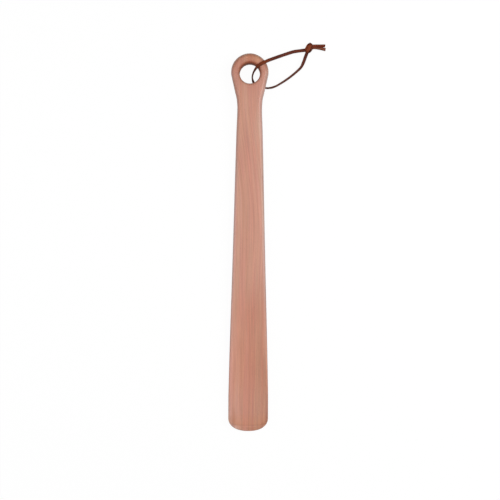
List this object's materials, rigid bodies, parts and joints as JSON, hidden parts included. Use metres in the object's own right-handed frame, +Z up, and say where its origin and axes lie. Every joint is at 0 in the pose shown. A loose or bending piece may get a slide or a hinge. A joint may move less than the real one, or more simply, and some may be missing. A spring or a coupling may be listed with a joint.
{
  "type": "shoe horn",
  "caption": "Long wooden shoe horn with a ring-shaped end and round eye, a slender waist, a widening handle and a hollowed blade, with a flat leather hanging lace knotted through the eye.",
  "frame": {"origin": "under the middle of the horn, without its lace, on the surface that the back of the horn rests on", "axes": "+Y runs along the horn towards its eye, +Z points up out of the front face and the hollow, and +X is the side where the lace lies"},
  "size_m": [0.1013, 0.4121, 0.0171],
  "materials": {
    "wood": "satin oiled pinkish hardwood, steamed pear or beech, with fine lengthwise grain",
    "leather": "smooth waxed red-brown leather lace, darker on its cut edges"
  },
  "bodies": {
    "horn": {"horn": "wood"},
    "bight": {"lace_bight": "leather"},
    "loop": {"lace_front_strand": "leather", "lace_back_strand": "leather", "lace_knot": "leather", "lace_upper_tail": "leather", "lace_lower_tail": "leather"}
  },
  "joints": [
    {"name": "lace_turn", "type": "hinge", "parent": "horn", "child": "bight", "pos_m": [0, 0.1783, 0], "axis": [0, 0, 1], "range_deg": [0, 165]},
    {"name": "loop_swing", "type": "hinge", "parent": "bight", "child": "loop", "pos_m": [0.0192, 0.1911, 0.0151], "axis": [0, -0.8876, -0.4606], "range_deg": [-90, 90]}
  ]
}
